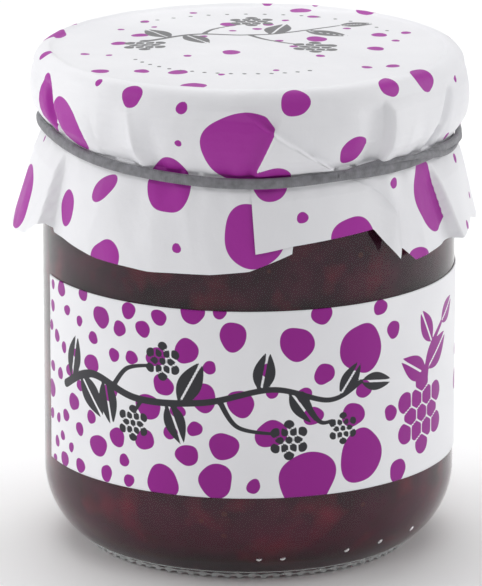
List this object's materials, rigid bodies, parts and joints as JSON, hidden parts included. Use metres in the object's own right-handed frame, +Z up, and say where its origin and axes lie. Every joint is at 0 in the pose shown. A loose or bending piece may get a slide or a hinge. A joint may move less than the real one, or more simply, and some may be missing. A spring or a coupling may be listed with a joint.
{
  "type": "jam jar",
  "caption": "Shut glass jar full of dark berry jam, with a spotted paper cover gathered by an elastic band and a spotted wrap-round label.",
  "frame": {"origin": "middle of the ring that the jar stands on", "axes": "+Z up along the jar's axis, -Y towards the front of the label"},
  "size_m": [0.0824, 0.0788, 0.0879],
  "materials": {
    "glass": "clear polished glass",
    "jam": "dark wine-coloured jelly with fruit in it, glossy",
    "lid_metal": "lacquered tinplate, satin",
    "cover_paper": "white satin paper printed with irregular magenta-purple spots",
    "band_elastic": "matt grey elastic with a fine weave",
    "label_paper": "white coated paper printed with purple spots and a plain berry sprig"
  },
  "bodies": {
    "root": {"jar": "glass", "jam": "jam", "lid": "lid_metal", "cover": "cover_paper", "band": "band_elastic", "label": "label_paper"}
  },
  "joints": []
}
